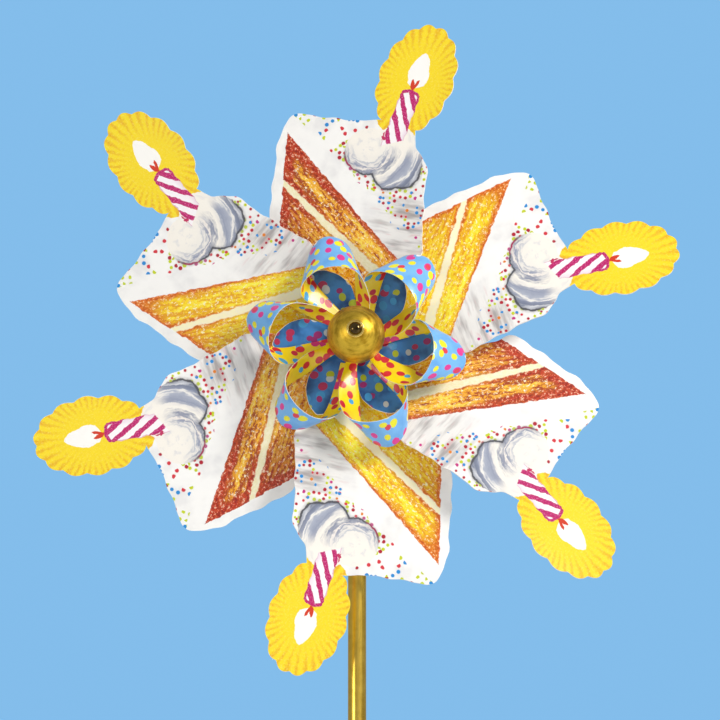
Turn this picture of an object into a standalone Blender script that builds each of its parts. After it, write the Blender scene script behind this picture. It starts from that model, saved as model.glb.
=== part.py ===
"""Cake-slice pinwheel: a gold stick, a pin axle, six printed card blades, a card flower and a gold ball.

Metres, +Z up. The origin is the middle of the stick's foot. The axle runs along Y and the front faces -Y.
Everything on the axle is modelled in the axle's own frame: x to the right, y up, z forwards along the pin.
"""

import math

import bmesh
import bpy
from mathutils import Vector

MM = 0.001

# Stick and axle
STICK_RADIUS = 3.175 * MM
STICK_LENGTH = 305 * MM
AXLE_HEIGHT = 293 * MM
PIN_RADIUS = 1.2 * MM
BORE_RADIUS = 1.5 * MM
GAP = 0.3 * MM

# Places along the axle, measured forwards from the middle of the stick
WASHER_THICKNESS = 0.5 * MM
BEAD_LENGTH = 7 * MM
DISC_THICKNESS = 0.6 * MM
CARD_THICKNESS = 0.5 * MM
BLADE_PLANE = 12.75 * MM
FLOWER_PLANE = 14.3 * MM
TIP_PLANE = 18.3 * MM
BALL_RADIUS = 10 * MM
BALL_PLANE = 29.6 * MM

# Blades and flower
ARMS = 6
PETAL_TURNS = (103.5, 46.0, -14.0, -74.0, -134.0, 164.0)  # degrees: the curled strips settle a little apart
BLADE_TURNS = (77.0, 17.5, -42.4, -100.3, -160.8, 137.7)  # degrees, with a little slack in the clamp
BASE_TURN = 106.0
BLADE_PITCH = math.radians(11)
BASE_DISH = 0.12
PETAL_THICKNESS = 0.4 * MM
REAR_DISC_RADIUS = 11 * MM
FRONT_DISC_RADIUS = 9 * MM
TIP_DISC_RADIUS = 5 * MM
SPACER_RADIUS = 4.2 * MM
WASHER_RADIUS = 3.6 * MM
CAP_RADIUS = 3.0 * MM
PIN_HEAD_RADIUS = 1.9 * MM
PIN_HEAD_HEIGHT = 1.6 * MM
EYELET_HOLE = 2.2 * MM
EYELET_RADIUS = 3.1 * MM
EYELET_HEIGHT = 0.9 * MM

# The die-cut frosting edge of one blade, in mm from the hub: outwards is u, anticlockwise is v.
LEADING_EDGE = [(22.7, -10.8), (33.1, -15.1), (39.4, -14.4), (45.8, -13.4), (54.9, -11.6), (62.7, -10.9),
                (66.9, -9.7), (70.4, -7.7), (72.9, -4.9), (75.5, -3.9)]
OUTER_EDGE = [(80.9, 10.6), (79.6, 15.8), (79.2, 21.1), (78.6, 26.4), (78.3, 31.7), (78.8, 35.6),
              (77.8, 39.6), (75.0, 42.8), (67.0, 44.2), (57.4, 43.2), (48.6, 42.3), (40.8, 41.3),
              (37.4, 39.6), (34.6, 34.6), (32.0, 29.6), (28.6, 23.2), (20.7, 13.6)]
BEND_LINES = ([9, 16, 24, 36, 50, 64, 82], [-6, 4, 16, 30])
SECTOR_START = math.radians(-25)
SECTOR_END = math.radians(33)
ROOT_RADIUS = 3.6
ROOT_INSET = 0.45
GLOW_CENTRE = (97.5, 0.7)
GLOW_HALF_LENGTH = 19.6
GLOW_HALF_WIDTH = 12.5
GLOW_TURN = math.radians(-8)
GLOW_SCALLOPS = 14
GLOW_SCALLOP_DEPTH = 1.2
GLOW_START = math.radians(-151)
GLOW_END = math.radians(150)

# One curled petal as two edges, in mm: outwards, anticlockwise, forwards along the axle.
PETAL_FRONT_EDGE = [(2.0, -2.6, 18.3), (4.9, -4.6, 18.3), (8.6, -6.8, 19.4), (14.8, -9.4, 22.6),
                    (22.5, -9.0, 26.2), (26.8, -4.8, 27.6), (28.4, 2.2, 27.6), (27.0, 8.8, 26.2),
                    (23.0, 13.0, 23.6), (18.5, 13.0, 20.4), (12.5, 8.2, 18.0), (7.2, 3.8, 16.9)]
PETAL_BACK_EDGE = [(3.3, -0.2, 18.3), (6.9, -1.2, 18.3), (10.0, -2.6, 18.0), (19.6, -4.4, 17.7),
                   (28.6, -6.2, 17.9), (35.4, -4.6, 18.3), (38.8, 0.6, 18.5), (37.6, 5.4, 18.3),
                   (32.8, 9.2, 18.1), (25.0, 9.4, 17.7), (16.0, 5.2, 16.7), (9.1, 1.1, 15.6)]
PETAL_SAG = Vector((-1.7, -3.0))  # how far the front of every loop hangs from its true place, right and up

# Reach of the flower's base card at angles across one arm, in degrees from the petal's middle and mm
BASE_REACH = [(-16, 13.5), (-11, 20.0), (-2, 24.5), (8, 28.0), (16, 29.5), (22, 27.5), (28, 19.5), (36, 9.5)]


def clear_scene():
    for obj in list(bpy.data.objects):
        bpy.data.objects.remove(obj, do_unlink=True)


def material(name, colour, roughness, metallic=0.0):
    made = bpy.data.materials.new(name)
    made.use_nodes = True
    shader = made.node_tree.nodes["Principled BSDF"]
    shader.inputs["Base Color"].default_value = (*colour, 1.0)
    shader.inputs["Roughness"].default_value = roughness
    shader.inputs["Metallic"].default_value = metallic
    return made


def finish(bm, name, finish_material, parent=None, angle=0.0):
    """Turns the mesh outwards and makes it an object, turned by angle about its parent's forward axis."""
    bmesh.ops.recalc_face_normals(bm, faces=bm.faces)
    mesh = bpy.data.meshes.new(name)
    bm.to_mesh(mesh)
    bm.free()
    mesh.shade_smooth()
    mesh.set_sharp_from_angle(angle=math.radians(35))
    mesh.materials.append(finish_material)
    obj = bpy.data.objects.new(name, mesh)
    bpy.context.scene.collection.objects.link(obj)
    obj.parent = parent
    obj.rotation_euler.z = angle
    return obj


def lathe(profile, segments, closed):
    """Turns (radius, height) points about z. A closed profile makes a ring; an open one ends on z."""
    bm = bmesh.new()
    points = [bm.verts.new((radius, 0, height)) for radius, height in profile]
    pairs = list(zip(points, points[1:]))
    if closed:
        pairs.append((points[-1], points[0]))
    edges = [bm.edges.new(pair) for pair in pairs]
    bmesh.ops.spin(bm, geom=points + edges, cent=(0, 0, 0), axis=(0, 0, 1), steps=segments,
                   angle=math.tau, use_merge=True)
    bmesh.ops.remove_doubles(bm, verts=bm.verts, dist=1e-6)
    return bm


def ring(inner, outer, back, front, chamfer, segments):
    """A washer, disc or tube from back to front along the axle, with its outer corners broken."""
    profile = [(inner, back), (outer - chamfer, back), (outer, back + chamfer),
               (outer, front - chamfer), (outer - chamfer, front), (inner, front)]
    return lathe(profile, segments, closed=True)


def smooth_curve(points, steps):
    """Reads a Catmull-Rom curve through the points, steps samples to a stretch, both ends kept."""
    points = [Vector(point) for point in points]
    ends = [2 * points[0] - points[1]] + points + [2 * points[-1] - points[-2]]
    samples = []
    for before, start, end, after in zip(ends, ends[1:], ends[2:], ends[3:]):
        for step in range(steps):
            t = step / steps
            samples.append(0.5 * ((2 * start) + (end - before) * t
                                  + (2 * before - 5 * start + 4 * end - after) * t * t
                                  + (3 * start - before - 3 * end + after) * t * t * t))
    return samples + [points[-1]]


def smoothstep(low, high, value):
    t = min(max((value - low) / (high - low), 0.0), 1.0)
    return t * t * (3 - 2 * t)


# Stick --------------------------------------------------------------------------------------------


def add_stick(gold):
    """The round stick stands on its flat foot, and the pin's hole crosses it near the top."""
    chamfer = 0.4 * MM
    profile = [(0, 0), (STICK_RADIUS - chamfer, 0), (STICK_RADIUS, chamfer),
               (STICK_RADIUS, STICK_LENGTH - 2 * chamfer), (STICK_RADIUS - 2 * chamfer, STICK_LENGTH),
               (0, STICK_LENGTH)]
    stick = finish(lathe(profile, 24, closed=False), "stick", gold)

    bm = bmesh.new()
    bmesh.ops.create_cone(bm, cap_ends=True, segments=16, radius1=BORE_RADIUS, radius2=BORE_RADIUS,
                          depth=4 * STICK_RADIUS)
    drill = finish(bm, "pin_hole_cutter", gold)
    drill.location = (0, 0, AXLE_HEIGHT)
    drill.rotation_euler.x = math.radians(90)
    drill.hide_render = True
    drill.display_type = "WIRE"
    cut = stick.modifiers.new("pin_hole", "BOOLEAN")
    cut.operation = "DIFFERENCE"
    cut.solver = "EXACT"
    cut.object = drill


def add_axle(axle, brass, gold):
    """The pin goes through the whole stack. A domed head holds the front, a pressed cap holds the back."""
    tail = -(STICK_RADIUS + 3.4 * MM)
    head_back = BALL_PLANE + BALL_RADIUS + 0.5 * MM
    rim = 0.4 * MM
    chamfer = 0.3 * MM
    profile = [(0, tail), (PIN_RADIUS - chamfer, tail), (PIN_RADIUS, tail + chamfer), (PIN_RADIUS, head_back),
               (PIN_HEAD_RADIUS, head_back), (PIN_HEAD_RADIUS, head_back + rim)]
    dome_steps = 4
    for step in range(1, dome_steps + 1):
        turn = math.radians(90) * step / dome_steps
        profile.append((PIN_HEAD_RADIUS * math.cos(turn) if step < dome_steps else 0,
                        head_back + rim + (PIN_HEAD_HEIGHT - rim) * math.sin(turn)))
    finish(lathe(profile, 16, closed=False), "axle_pin", brass, axle)

    washer_back = STICK_RADIUS + GAP
    washer_front = washer_back + WASHER_THICKNESS
    for name, back, front in (("front_washer", washer_back, washer_front),
                              ("rear_washer", -washer_front, -washer_back)):
        finish(ring(BORE_RADIUS, WASHER_RADIUS, back, front, 0.1 * MM, 20), name, brass, axle)

    mouth = -washer_front - GAP
    socket = tail - 0.4 * MM
    crown = socket - 1.2 * MM
    cap_profile = [(0, crown), (1.6 * MM, crown + 0.2 * MM), (2.6 * MM, crown + 0.9 * MM),
                   (CAP_RADIUS, crown + 1.9 * MM), (CAP_RADIUS, mouth), (BORE_RADIUS, mouth),
                   (BORE_RADIUS, socket), (0, socket)]
    finish(lathe(cap_profile, 20, closed=False), "rear_cap", gold, axle)


def add_spacer_bead(axle, gold):
    """A loose turned bead keeps the blades clear of the stick."""
    back = STICK_RADIUS + GAP + WASHER_THICKNESS + GAP
    middle = back + BEAD_LENGTH / 2
    round_radius = 4 * MM
    profile = [(BORE_RADIUS, back), (2.2 * MM, back)]
    steps = 8
    for step in range(1, steps):
        turn = math.radians(-65 + 130 * step / steps)
        profile.append((0.7 * MM + (round_radius - 0.7 * MM) * math.cos(turn),
                        middle + BEAD_LENGTH / 2 * math.sin(turn) / math.sin(math.radians(65))))
    profile += [(2.2 * MM, back + BEAD_LENGTH), (BORE_RADIUS, back + BEAD_LENGTH)]
    finish(lathe(profile, 20, closed=True), "spacer_bead", gold, axle)


# Blades -------------------------------------------------------------------------------------------


def sector_line(angle, inset_side):
    """Straight root edge of a blade, set back from the shared cut line, as its first point in mm."""
    along = Vector((math.cos(angle), math.sin(angle)))
    return along * ROOT_RADIUS + Vector((-along.y, along.x)) * ROOT_INSET * inset_side


def glow_edge(samples_per_scallop=3):
    """The round scallops of the candle's glow, from the leading side round the tip to the outer side."""
    count = round(GLOW_SCALLOPS * samples_per_scallop * (GLOW_END - GLOW_START) / math.tau)
    points = []
    for step in range(count + 1):
        turn = GLOW_START + (GLOW_END - GLOW_START) * step / count
        bulge = GLOW_SCALLOP_DEPTH * abs(math.sin(turn * GLOW_SCALLOPS / 2))
        along = (GLOW_HALF_LENGTH + bulge) * math.cos(turn)
        across = (GLOW_HALF_WIDTH + bulge) * math.sin(turn)
        points.append(Vector((GLOW_CENTRE[0] + along * math.cos(GLOW_TURN) - across * math.sin(GLOW_TURN),
                              GLOW_CENTRE[1] + along * math.sin(GLOW_TURN) + across * math.cos(GLOW_TURN))))
    return points


def blade_outline():
    """The whole die-cut edge of one blade in mm, anticlockwise from the leading side of its root."""
    root_start = sector_line(SECTOR_START, 1)
    root_end = sector_line(SECTOR_END, -1)
    arc = []
    for share in (0.33, 0.67):
        turn = SECTOR_END + (SECTOR_START - SECTOR_END) * share
        arc.append(Vector((math.cos(turn), math.sin(turn))) * ROOT_RADIUS)
    cut_edge = smooth_curve(LEADING_EDGE, 1) + glow_edge() + smooth_curve(OUTER_EDGE, 1)
    return [root_start] + cut_edge + [root_end] + arc


def blade_height(u, v):
    """How far a point of the twisted, slightly bowed blade stands in front of its root, in mm."""
    twist = smoothstep(8, 26, math.hypot(u, v))
    lift = -math.tan(BLADE_PITCH) * v + 0.006 * max(0.0, -v - 4) ** 2
    return twist * lift + 0.0002 * u * u


def bent_card(flat, height_at, plane, thickness):
    """Bends a flat card, in mm, by height_at(u, v), then gives it its thickness as a closed body."""
    reach = 0.05
    bm = bmesh.new()
    layers = []
    for side in (0.5, -0.5):
        layer = {}
        for vert in flat.verts:
            u, v = vert.co.x, vert.co.y
            slope_u = (height_at(u + reach, v) - height_at(u - reach, v)) / (2 * reach)
            slope_v = (height_at(u, v + reach) - height_at(u, v - reach)) / (2 * reach)
            normal = Vector((-slope_u, -slope_v, 1)).normalized()
            place = Vector((u * MM, v * MM, plane + height_at(u, v) * MM))
            layer[vert] = bm.verts.new(place + normal * thickness * side)
        layers.append(layer)
    front, back = layers
    for face in flat.faces:
        bm.faces.new([front[vert] for vert in face.verts])
        bm.faces.new([back[vert] for vert in reversed(face.verts)])
    for edge in flat.edges:
        if edge.is_boundary:
            start, end = (loop.vert for loop in (edge.link_loops[0], edge.link_loops[0].link_loop_next))
            bm.faces.new((front[end], front[start], back[start], back[end]))
    flat.free()
    return bm


def add_blades(axle, slice_materials):
    for index, turn in enumerate(BLADE_TURNS):
        flat = bmesh.new()
        flat.faces.new([flat.verts.new((point.x, point.y, 0)) for point in blade_outline()])
        for direction, cuts in zip(((1, 0, 0), (0, 1, 0)), BEND_LINES):
            for cut in cuts:
                bmesh.ops.bisect_plane(flat, geom=flat.verts[:] + flat.edges[:] + flat.faces[:],
                                       plane_co=Vector(direction) * cut, plane_no=direction, dist=1e-4)
        bmesh.ops.triangulate(flat, faces=flat.faces[:])
        blade = bent_card(flat, blade_height, BLADE_PLANE, CARD_THICKNESS)
        finish(blade, f"cake_blade_{index + 1}", slice_materials[index % 2], axle, math.radians(turn))


def add_discs(axle, card, brass):
    """Two discs clamp the blades' roots, and a brass tube carries the whole turning stack on the pin."""
    chamfer = 0.1 * MM
    tube_radius = BORE_RADIUS + 0.7 * MM
    tube_hole = tube_radius + 0.4 * MM
    rear_front = BLADE_PLANE - CARD_THICKNESS / 2 - GAP
    rear_back = rear_front - DISC_THICKNESS
    front_back = BLADE_PLANE + CARD_THICKNESS / 2 + GAP
    front_front = front_back + WASHER_THICKNESS
    tube_front = TIP_PLANE + PETAL_THICKNESS / 2
    finish(ring(tube_hole, REAR_DISC_RADIUS, rear_back, rear_front, chamfer, 32), "rear_disc", card, axle)
    finish(ring(tube_hole, FRONT_DISC_RADIUS, front_back, front_front, chamfer, 32), "front_disc", card, axle)
    finish(ring(BORE_RADIUS, tube_radius, rear_back, tube_front, chamfer, 20), "hub_tube", brass, axle)
    ring_back = FLOWER_PLANE + PETAL_THICKNESS / 2 + GAP
    ring_front = TIP_PLANE - PETAL_THICKNESS / 2 - GAP
    spacer = ring(tube_hole, SPACER_RADIUS, ring_back, ring_front, 2 * chamfer, 20)
    finish(spacer, "flower_spacer", brass, axle)
    tip_back = TIP_PLANE + PETAL_THICKNESS / 2 + GAP
    tip_front = tip_back + WASHER_THICKNESS
    finish(ring(BORE_RADIUS, TIP_DISC_RADIUS, tip_back, tip_front, chamfer, 24), "tip_disc", brass, axle)


# Flower -------------------------------------------------------------------------------------------


def base_reach(degrees):
    """The base card's edge at an angle from one petal's middle, read between the listed reaches."""
    span = 360 / ARMS
    first = BASE_REACH[0][0]
    degrees = (degrees - first) % span + first
    stops = BASE_REACH + [(first + span, BASE_REACH[0][1])]
    for (start, low), (end, high) in zip(stops, stops[1:]):
        if degrees <= end:
            return low + (high - low) * (degrees - start) / (end - start)
    return stops[-1][1]


def dished(u, v):
    """How far a point of the base card stands in front of its flat middle, in mm."""
    return BASE_DISH * max(0.0, math.hypot(u, v) - 6)


def add_flower_base(axle, blue):
    """A six-armed star of card, dished forwards so that it clears the raised edges of the blades."""
    hole = 2.6
    rings = (0.0, 0.3, 0.62, 1.0)
    steps = 60
    flat = bmesh.new()
    loops = []
    for share in rings:
        loop = []
        for step in range(steps):
            degrees = 360 * step / steps
            reach = hole + (base_reach(degrees) - hole) * share
            loop.append(flat.verts.new((reach * math.cos(math.radians(degrees)),
                                        reach * math.sin(math.radians(degrees)), 0)))
        loops.append(loop)
    for inner, outer in zip(loops, loops[1:]):
        for step in range(steps):
            after = (step + 1) % steps
            flat.faces.new((inner[step], outer[step], outer[after], inner[after]))
    bmesh.ops.triangulate(flat, faces=flat.faces[:])
    star = bent_card(flat, dished, FLOWER_PLANE, PETAL_THICKNESS)
    finish(star, "flower_base", blue, axle, math.radians(BASE_TURN))


def sagged(point, angle):
    """A petal's point after the sag of its loop. The tip and the tail are held, so they keep their place."""
    hang = Vector((PETAL_SAG.x * math.cos(angle) + PETAL_SAG.y * math.sin(angle),
                   PETAL_SAG.y * math.cos(angle) - PETAL_SAG.x * math.sin(angle), 0))
    return point + hang * smoothstep(16, 27, point.z) * smoothstep(6, 14, point.xy.length)


def petal_mesh(angle):
    """One curled strip of card between its front and back edges, thick all over and closed at both ends."""
    front = [sagged(point, angle) for point in smooth_curve(PETAL_FRONT_EDGE, 3)]
    back = [sagged(point, angle) for point in smooth_curve(PETAL_BACK_EDGE, 3)]
    middle = [[(a + (b - a) * share) * MM for share in (0.0, 0.5, 1.0)] for a, b in zip(front, back)]
    last = len(middle) - 1
    bm = bmesh.new()
    layers = {}
    for side in (0.5, -0.5):
        grid = []
        for index, row in enumerate(middle):
            before, after = middle[max(index - 1, 0)], middle[min(index + 1, last)]
            across = row[2] - row[0]
            normals = [(after[k] - before[k]).cross(across).normalized() for k in range(3)]
            grid.append([bm.verts.new(point + normal * PETAL_THICKNESS * side)
                         for point, normal in zip(row, normals)])
        layers[side] = grid
    outside, inside = layers[0.5], layers[-0.5]
    for index in range(last):
        after = index + 1
        for k in range(2):
            bm.faces.new((outside[index][k], outside[after][k], outside[after][k + 1], outside[index][k + 1]))
            bm.faces.new((inside[index][k], inside[index][k + 1], inside[after][k + 1], inside[after][k]))
        for k in (0, 2):
            bm.faces.new((outside[index][k], inside[index][k], inside[after][k], outside[after][k]))
    for index in (0, last):
        for k in range(2):
            bm.faces.new((outside[index][k], outside[index][k + 1], inside[index][k + 1], inside[index][k]))
    bmesh.ops.triangulate(bm, faces=bm.faces[:])
    return bm


def add_petals(axle, blue):
    for index, turn in enumerate(PETAL_TURNS):
        angle = math.radians(turn)
        finish(petal_mesh(angle), f"petal_{index + 1}", blue, axle, angle)


# Ball ---------------------------------------------------------------------------------------------


def add_ball(axle, gold, bright):
    """The drilled ball turns loosely in front of the petal tips, with a bright rimmed eyelet in its hole."""
    start = math.asin(BORE_RADIUS / BALL_RADIUS)
    steps = 12
    profile = []
    for step in range(steps + 1):
        turn = start + (math.pi - 2 * start) * step / steps
        profile.append((BALL_RADIUS * math.sin(turn), BALL_PLANE - BALL_RADIUS * math.cos(turn)))
    finish(lathe(profile, 32, closed=True), "gold_ball", gold, axle)

    back = BALL_PLANE + BALL_RADIUS - 0.05 * MM
    front = back + EYELET_HEIGHT
    corner = 0.22 * MM
    eyelet = [(EYELET_HOLE, back), (EYELET_RADIUS, back), (EYELET_RADIUS, front - corner),
              (EYELET_RADIUS - corner, front), (EYELET_HOLE + corner, front), (EYELET_HOLE, front - corner)]
    finish(lathe(eyelet, 24, closed=True), "ball_eyelet", bright, axle)


def main():
    clear_scene()
    gold = material("satin_gold", (0.56, 0.39, 0.10), 0.38, 1.0)
    brass = material("polished_brass", (0.72, 0.52, 0.20), 0.22, 1.0)
    card = material("white_card", (0.86, 0.85, 0.82), 0.45)
    red_cake = material("red_cake_print", (0.62, 0.30, 0.16), 0.32)
    golden_cake = material("golden_cake_print", (0.86, 0.66, 0.24), 0.32)
    confetti = material("confetti_print", (0.33, 0.62, 0.86), 0.28)

    axle = bpy.data.objects.new("axle_frame", None)
    bpy.context.scene.collection.objects.link(axle)
    axle.location = (0, 0, AXLE_HEIGHT)
    axle.rotation_euler.x = math.radians(90)

    add_stick(gold)
    add_axle(axle, brass, gold)
    add_spacer_bead(axle, gold)
    add_discs(axle, card, brass)
    add_blades(axle, (red_cake, golden_cake))
    add_flower_base(axle, confetti)
    add_petals(axle, confetti)
    add_ball(axle, gold, brass)


main()
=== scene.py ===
import math

import bmesh
import bpy
from mathutils import Matrix, Vector


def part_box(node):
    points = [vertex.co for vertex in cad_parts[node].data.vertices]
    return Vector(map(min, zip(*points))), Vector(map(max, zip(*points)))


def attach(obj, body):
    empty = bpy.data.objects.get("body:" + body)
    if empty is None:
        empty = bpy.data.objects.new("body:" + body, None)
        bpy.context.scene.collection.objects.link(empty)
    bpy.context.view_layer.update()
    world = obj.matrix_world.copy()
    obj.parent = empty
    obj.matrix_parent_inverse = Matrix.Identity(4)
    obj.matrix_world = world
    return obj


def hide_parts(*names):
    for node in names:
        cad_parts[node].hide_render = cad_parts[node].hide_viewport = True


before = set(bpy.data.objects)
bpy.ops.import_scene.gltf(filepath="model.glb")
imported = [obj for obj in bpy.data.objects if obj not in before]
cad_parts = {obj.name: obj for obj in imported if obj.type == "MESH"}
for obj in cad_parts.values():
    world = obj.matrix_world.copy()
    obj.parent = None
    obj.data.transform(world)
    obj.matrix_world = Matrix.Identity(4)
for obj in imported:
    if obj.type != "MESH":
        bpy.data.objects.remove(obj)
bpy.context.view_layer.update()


# Stick --------------------------------------------------------------------------------------------
# A quarter-inch hardwood dowel, dipped in satin gold lacquer. It is cut square at the foot, eased at
# the top, and drilled across near the top for the pin.

MM = 0.001
sharp_angle = math.radians(38)


def srgb(red, green, blue):
    """Paint-chart values from 0 to 255, as the linear colour that shaders work in."""
    chart = (channel / 255 for channel in (red, green, blue))
    return (*(c / 12.92 if c <= 0.04045 else ((c + 0.055) / 1.055) ** 2.4 for c in chart), 1.0)


class Reading:
    """A value that varies over a surface. Arithmetic on readings adds Math nodes to their shader tree."""

    def __init__(self, tree, socket):
        self.tree, self.socket = tree, socket

    def __add__(self, other):
        return calc("ADD", self, other)

    def __sub__(self, other):
        return calc("SUBTRACT", self, other)

    def __rsub__(self, other):
        return calc("SUBTRACT", other, self)

    def __mul__(self, other):
        return calc("MULTIPLY", self, other)

    def __truediv__(self, other):
        return calc("DIVIDE", self, other)

    def __abs__(self):
        return calc("ABSOLUTE", self)

    __radd__, __rmul__ = __add__, __mul__


def fill(tree, node, sockets):
    """Sets the node's inputs, each as a plain value or as a link from a reading."""
    for key, value in sockets.items():
        if isinstance(value, Reading):
            tree.links.new(value.socket, node.inputs[key])
        else:
            node.inputs[key].default_value = value


def put(tree, kind, sockets=None, output=0, **settings):
    """Adds a shader node with its settings and inputs, and reads one of its outputs."""
    node = tree.nodes.new(kind)
    for label, value in settings.items():
        setattr(node, label, value)
    fill(tree, node, sockets or {})
    return Reading(tree, node.outputs[output])


def tree_of(*values):
    return next(value.tree for value in values if isinstance(value, Reading))


def calc(operation, *values):
    return put(tree_of(*values), "ShaderNodeMath", dict(enumerate(values)), operation=operation)


def vector_calc(operation, first, second):
    return put(first.tree, "ShaderNodeVectorMath", {0: first, 1: second}, operation=operation)


def fade(value, low, high):
    """Runs smoothly from 0 at low to 1 at high, or down again where high is the smaller one."""
    sockets = {"Value": value, "From Min": low, "From Max": high}
    return put(value.tree, "ShaderNodeMapRange", sockets, "Result", interpolation_type="SMOOTHSTEP")


def paint(under, over, amount):
    """Lays one colour over another by an amount from 0 to 1."""
    tree = tree_of(amount, under, over)
    return put(tree, "ShaderNodeMix", {0: amount, 6: under, 7: over}, 2, data_type="RGBA")


def noise(vector, scale, detail=3.0, roughness=0.5, output="Fac"):
    sockets = {"Vector": vector, "Scale": scale, "Detail": detail, "Roughness": roughness}
    return put(vector.tree, "ShaderNodeTexNoise", sockets, output)


def new_group(name, inputs, outputs):
    """Opens a shader node group, and returns its tree, readings of its inputs and its output node."""
    tree = bpy.data.node_groups.new(name, "ShaderNodeTree")
    for label, kind, value in inputs:
        tree.interface.new_socket(label, in_out="INPUT", socket_type=kind).default_value = value
    for label, kind in outputs:
        tree.interface.new_socket(label, in_out="OUTPUT", socket_type=kind)
    entry, result = tree.nodes.new("NodeGroupInput"), tree.nodes.new("NodeGroupOutput")
    return tree, {socket.name: Reading(tree, socket) for socket in entry.outputs if socket.name}, result


def place_group(tree, group, sockets):
    """Places a node group in a material, and returns readings of its outputs by name."""
    node = tree.nodes.new("ShaderNodeGroup")
    node.node_tree = group
    fill(tree, node, sockets)
    return {socket.name: Reading(tree, socket) for socket in node.outputs}


def new_material(name, **values):
    """Opens a material, and sets the shader's own values, such as Metallic, that are the same all over."""
    made = bpy.data.materials.new(name)
    made.use_nodes = True
    shader = made.node_tree.nodes["Principled BSDF"]
    for label, value in values.items():
        shader.inputs[label.replace("_", " ")].default_value = value
    return made, made.node_tree, shader


def relief(height, distance, strength=1.0):
    sockets = {"Height": height, "Distance": distance, "Strength": strength}
    return put(height.tree, "ShaderNodeBump", sockets)


def gold_finish_group():
    """Worn gold leaf or lacquer: cloudy depth of colour, fine brush lines and tiny rubbed spots."""
    tree, given, result = new_group(
        "Gold Finish",
        [("Gold", "NodeSocketColor", (0.6, 0.4, 0.1, 1)),
         ("Deep Gold", "NodeSocketColor", (0.3, 0.2, 0.05, 1)),
         ("Brush Direction", "NodeSocketVector", (1, 1, 1)),
         ("Smoothness", "NodeSocketFloat", 0.3)],
        [("Color", "NodeSocketColor"), ("Roughness", "NodeSocketFloat"), ("Height", "NodeSocketFloat")])
    place = put(tree, "ShaderNodeTexCoord", output="Object")
    clouds = noise(place, 260, 4, 0.55)
    lines = noise(vector_calc("MULTIPLY", place, given["Brush Direction"]), 420, 6, 0.7)
    spots = fade(noise(place, 2400, 2), 0.66, 0.72)
    colour = paint(given["Deep Gold"], given["Gold"], fade(clouds * 0.45 + lines * 0.55, 0.34, 0.6))
    fill(tree, result, {"Color": paint(colour, given["Deep Gold"], spots * 0.45),
                        "Roughness": given["Smoothness"] + (lines - 0.5) * 0.35 + spots * 0.1,
                        "Height": lines + clouds * 0.4})
    return tree


gold_finish = gold_finish_group()


def gold_material(name, gold, deep, brush, smoothness, bump):
    made, tree, shader = new_material(name, Metallic=1.0)
    finish = place_group(tree, gold_finish, {"Gold": gold, "Deep Gold": deep, "Brush Direction": brush,
                                             "Smoothness": smoothness})
    fill(tree, shader, {"Base Color": finish["Color"], "Roughness": finish["Roughness"],
                        "Normal": relief(finish["Height"], bump)})
    return made


def fix(bm, name, matrix, materials, body, node):
    """Makes the mesh a smooth-shaded piece that rides on its body and stands for its CAD node."""
    mesh = bpy.data.meshes.new(name)
    bm.to_mesh(mesh)
    bm.free()
    mesh.shade_smooth()
    mesh.set_sharp_from_angle(angle=sharp_angle)
    for finish in materials:
        mesh.materials.append(finish)
    piece = bpy.data.objects.new(name, mesh)
    bpy.context.scene.collection.objects.link(piece)
    piece.matrix_world = matrix
    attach(piece, body)
    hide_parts(node)
    return piece


def lathe(name, profile, segments, matrix, material, body, node, closed=True):
    """Turns (radius, height) points in metres into a round piece, and fixes it to its body in the frame."""
    bm = bmesh.new()
    points = [bm.verts.new((radius, 0, height)) for radius, height in profile]
    pairs = list(zip(points, points[1:])) + ([(points[-1], points[0])] if closed else [])
    edges = [bm.edges.new(pair) for pair in pairs]
    bmesh.ops.spin(bm, geom=points + edges, cent=(0, 0, 0), axis=(0, 0, 1), steps=segments,
                   angle=math.tau, use_merge=True)
    bmesh.ops.remove_doubles(bm, verts=bm.verts, dist=1e-6)
    bmesh.ops.recalc_face_normals(bm, faces=bm.faces)
    return fix(bm, name, matrix, [material], body, node)


def quarter_round(radius, height, reach, rise, steps):
    """Points of a quarter ellipse from (radius + reach, height) round to (radius, height + rise)."""
    turns = [math.radians(90) * step / steps for step in range(steps + 1)]
    return [(radius + reach * math.cos(turn), height + rise * math.sin(turn)) for turn in turns]


stick_low, stick_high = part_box("stick")
stick_radius = (stick_high.x - stick_low.x) / 2
stick_length = stick_high.z - stick_low.z
pin_low, pin_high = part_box("axle_pin")
axle_height = (pin_low.z + pin_high.z) / 2
axle = Matrix.Translation((0, 0, axle_height)) @ Matrix.Rotation(math.radians(90), 4, "X")
bore_radius = 1.5 * MM
stick_ease = 0.8 * MM

stick_gold = gold_material("satin gold lacquer", srgb(234, 198, 86), srgb(206, 168, 62), (1, 1, 0.02),
                           0.3, 0.00003)
stick_profile = [(0, 0), (stick_radius - 0.3 * MM, 0), (stick_radius - 0.08 * MM, 0.1 * MM),
                 (stick_radius, 0.35 * MM)]
stick_profile += [(stick_radius, stick_length * share) for share in (0.25, 0.5, 0.75)]
stick_profile += quarter_round(stick_radius - stick_ease, stick_length - stick_ease, stick_ease,
                               stick_ease, 6)
stick_profile.append((0, stick_length))
stick = lathe("gold_dowel", stick_profile, 72, Matrix.Identity(4), stick_gold, "stick", "stick",
              closed=False)

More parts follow.
